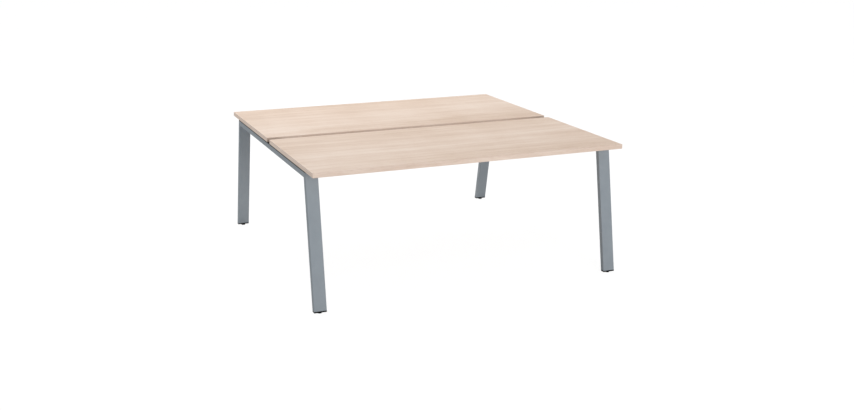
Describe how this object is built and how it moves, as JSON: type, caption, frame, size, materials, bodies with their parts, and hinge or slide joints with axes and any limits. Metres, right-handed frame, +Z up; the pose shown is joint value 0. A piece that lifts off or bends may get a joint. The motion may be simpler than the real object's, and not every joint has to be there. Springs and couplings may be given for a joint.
{
  "type": "benching desk for two",
  "caption": "Benching desk for face-to-face seats: wood-decor worktops with an open cable gap between them, on splayed mitred steel end frames with levelling feet.",
  "frame": {"origin": "centre of the desk's footprint, on the floor", "axes": "+X along the desk's length, +Y from the front seat to the rear seat, +Z up"},
  "size_m": [1.8, 1.65, 0.75],
  "materials": {
    "worktop_decor": "pale wood-decor melamine, fine straight grain along the desk, matt",
    "edge_band": "wood-decor edge band to match the worktop, matt",
    "frame_powder_coat": "fine-textured grey powder coat, satin",
    "black_plastic": "moulded black plastic, matt",
    "zinc_steel": "bright zinc plate"
  },
  "bodies": {
    "desk": {"front_worktop_board": "worktop_decor", "front_outer_edge_band": "edge_band", "front_gap_edge_band": "edge_band", "front_left_edge_band": "edge_band", "front_right_edge_band": "edge_band", "front_beam": "frame_powder_coat", "rear_worktop_board": "worktop_decor", "rear_outer_edge_band": "edge_band", "rear_gap_edge_band": "edge_band", "rear_left_edge_band": "edge_band", "rear_right_edge_band": "edge_band", "rear_beam": "frame_powder_coat", "left_rail": "frame_powder_coat", "left_spacer_strip": "black_plastic", "left_front_leg": "frame_powder_coat", "left_front_end_plate": "frame_powder_coat", "left_front_leg_cap": "black_plastic", "left_rear_leg": "frame_powder_coat", "left_rear_end_plate": "frame_powder_coat", "left_rear_leg_cap": "black_plastic", "right_rail": "frame_powder_coat", "right_spacer_strip": "black_plastic", "right_front_leg": "frame_powder_coat", "right_front_end_plate": "frame_powder_coat", "right_front_leg_cap": "black_plastic", "right_rear_leg": "frame_powder_coat", "right_rear_end_plate": "frame_powder_coat", "right_rear_leg_cap": "black_plastic", "foot_bushes": "zinc_steel", "beam_bolts": "zinc_steel", "beam_washers": "zinc_steel", "rail_rivet_nuts": "zinc_steel", "worktop_screws": "zinc_steel", "screw_washers": "zinc_steel", "worktop_inserts": "zinc_steel", "beam_spacers": "black_plastic", "access_hole_plugs": "black_plastic"},
    "left_front_glide": {"left_front_foot_pad": "black_plastic"},
    "left_front_screw": {"left_front_foot_stem": "zinc_steel"},
    "left_rear_glide": {"left_rear_foot_pad": "black_plastic"},
    "left_rear_screw": {"left_rear_foot_stem": "zinc_steel"},
    "right_front_glide": {"right_front_foot_pad": "black_plastic"},
    "right_front_screw": {"right_front_foot_stem": "zinc_steel"},
    "right_rear_glide": {"right_rear_foot_pad": "black_plastic"},
    "right_rear_screw": {"right_rear_foot_stem": "zinc_steel"}
  },
  "joints": [
    {"name": "left_front_foot_travel", "type": "slide", "parent": "desk", "child": "left_front_glide", "axis": [0, 0, -1], "range_m": [0, 0.0128]},
    {"name": "left_front_foot_turn", "type": "hinge", "parent": "left_front_glide", "child": "left_front_screw", "pos_m": [-0.865, -0.80256, 0.0041], "axis": [0, 0, -1], "range_deg": [0, 3456]},
    {"name": "left_rear_foot_travel", "type": "slide", "parent": "desk", "child": "left_rear_glide", "axis": [0, 0, -1], "range_m": [0, 0.0128]},
    {"name": "left_rear_foot_turn", "type": "hinge", "parent": "left_rear_glide", "child": "left_rear_screw", "pos_m": [-0.865, 0.80256, 0.0041], "axis": [0, 0, -1], "range_deg": [0, 3456]},
    {"name": "right_front_foot_travel", "type": "slide", "parent": "desk", "child": "right_front_glide", "axis": [0, 0, -1], "range_m": [0, 0.0128]},
    {"name": "right_front_foot_turn", "type": "hinge", "parent": "right_front_glide", "child": "right_front_screw", "pos_m": [0.865, -0.80256, 0.0041], "axis": [0, 0, -1], "range_deg": [0, 3456]},
    {"name": "right_rear_foot_travel", "type": "slide", "parent": "desk", "child": "right_rear_glide", "axis": [0, 0, -1], "range_m": [0, 0.0128]},
    {"name": "right_rear_foot_turn", "type": "hinge", "parent": "right_rear_glide", "child": "right_rear_screw", "pos_m": [0.865, 0.80256, 0.0041], "axis": [0, 0, -1], "range_deg": [0, 3456]}
  ],
  "couplings": [
    {"joint": "left_front_foot_travel", "follows": "left_front_foot_turn", "m_per_rad": 0.00019894},
    {"joint": "left_rear_foot_travel", "follows": "left_rear_foot_turn", "m_per_rad": 0.00019894},
    {"joint": "right_front_foot_travel", "follows": "right_front_foot_turn", "m_per_rad": 0.00019894},
    {"joint": "right_rear_foot_travel", "follows": "right_rear_foot_turn", "m_per_rad": 0.00019894}
  ]
}
